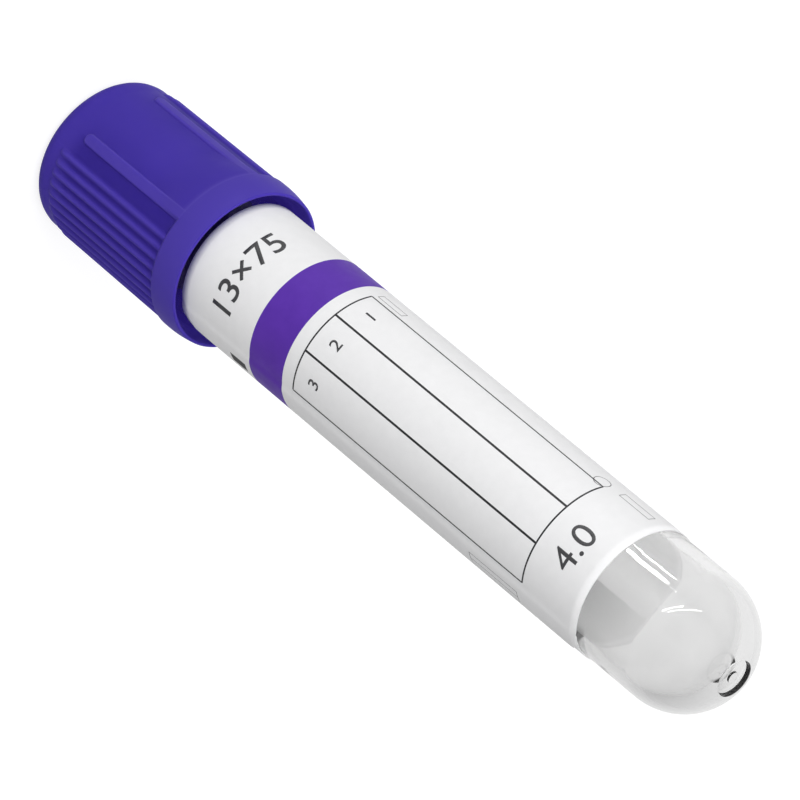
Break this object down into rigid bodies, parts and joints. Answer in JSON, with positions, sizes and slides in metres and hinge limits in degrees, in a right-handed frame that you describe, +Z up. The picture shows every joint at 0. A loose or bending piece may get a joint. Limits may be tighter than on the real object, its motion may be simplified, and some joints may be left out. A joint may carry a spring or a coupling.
{
  "type": "blood collection tube",
  "caption": "Clear round-bottomed vacuum tube with a wrap-round label, a ribbed purple pull-off safety cap and a rubber stopper, standing on its cap.",
  "frame": {"origin": "middle of the cap's flat top, on the surface that it stands on", "axes": "+Z up towards the closed end, and the middle of the label's front faces -Y"},
  "size_m": [0.0162, 0.0162, 0.0845],
  "materials": {
    "clear_plastic": "clear moulded plastic, glossy",
    "label_film": "satin white film with printed lines",
    "cap_plastic": "moulded violet plastic, satin",
    "stopper_rubber": "matt grey rubber"
  },
  "bodies": {
    "tube": {"tube": "clear_plastic", "label": "label_film"},
    "closure": {"cap": "cap_plastic", "stopper": "stopper_rubber"}
  },
  "joints": [
    {"name": "closure_pull", "type": "slide", "parent": "closure", "child": "tube", "axis": [0, 0, 1], "range_m": [0, 0.025]}
  ]
}
